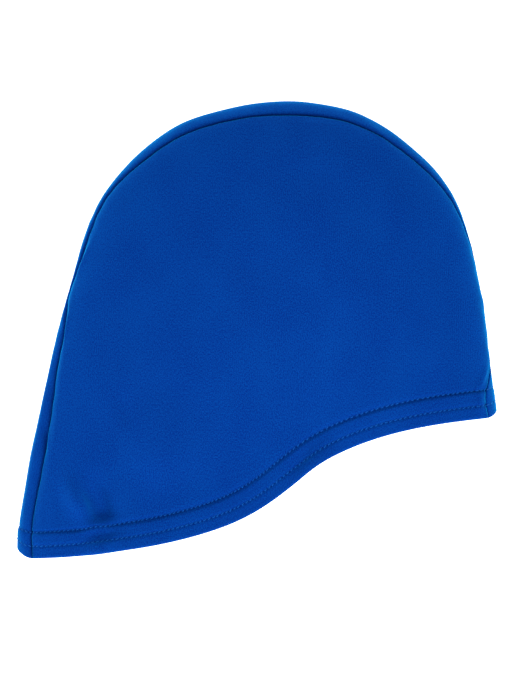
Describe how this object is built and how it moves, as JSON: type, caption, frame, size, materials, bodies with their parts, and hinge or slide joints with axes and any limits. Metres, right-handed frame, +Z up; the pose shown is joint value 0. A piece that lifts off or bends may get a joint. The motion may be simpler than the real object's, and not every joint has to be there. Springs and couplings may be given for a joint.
{
  "type": "fabric swim cap",
  "caption": "Soft blue knitted swim cap lying on its side: side panels joined by a centre strip over the crown, with a turned-up hem cut higher at the forehead than at the nape.",
  "frame": {"origin": "on the resting surface, under the middle of the cap's box", "axes": "+Z up off the surface, +X towards the forehead, +Y towards the crown; the cap lies on its left side"},
  "size_m": [0.2104, 0.2007, 0.0266],
  "materials": {
    "panel_knit": "matt royal blue polyester knit with fine upright ribs",
    "strip_knit": "matt royal blue polyester knit with fine ribs along the strip"
  },
  "bodies": {
    "root": {"right_side_panel": "panel_knit", "left_side_panel": "panel_knit", "centre_strip": "strip_knit"}
  },
  "joints": []
}
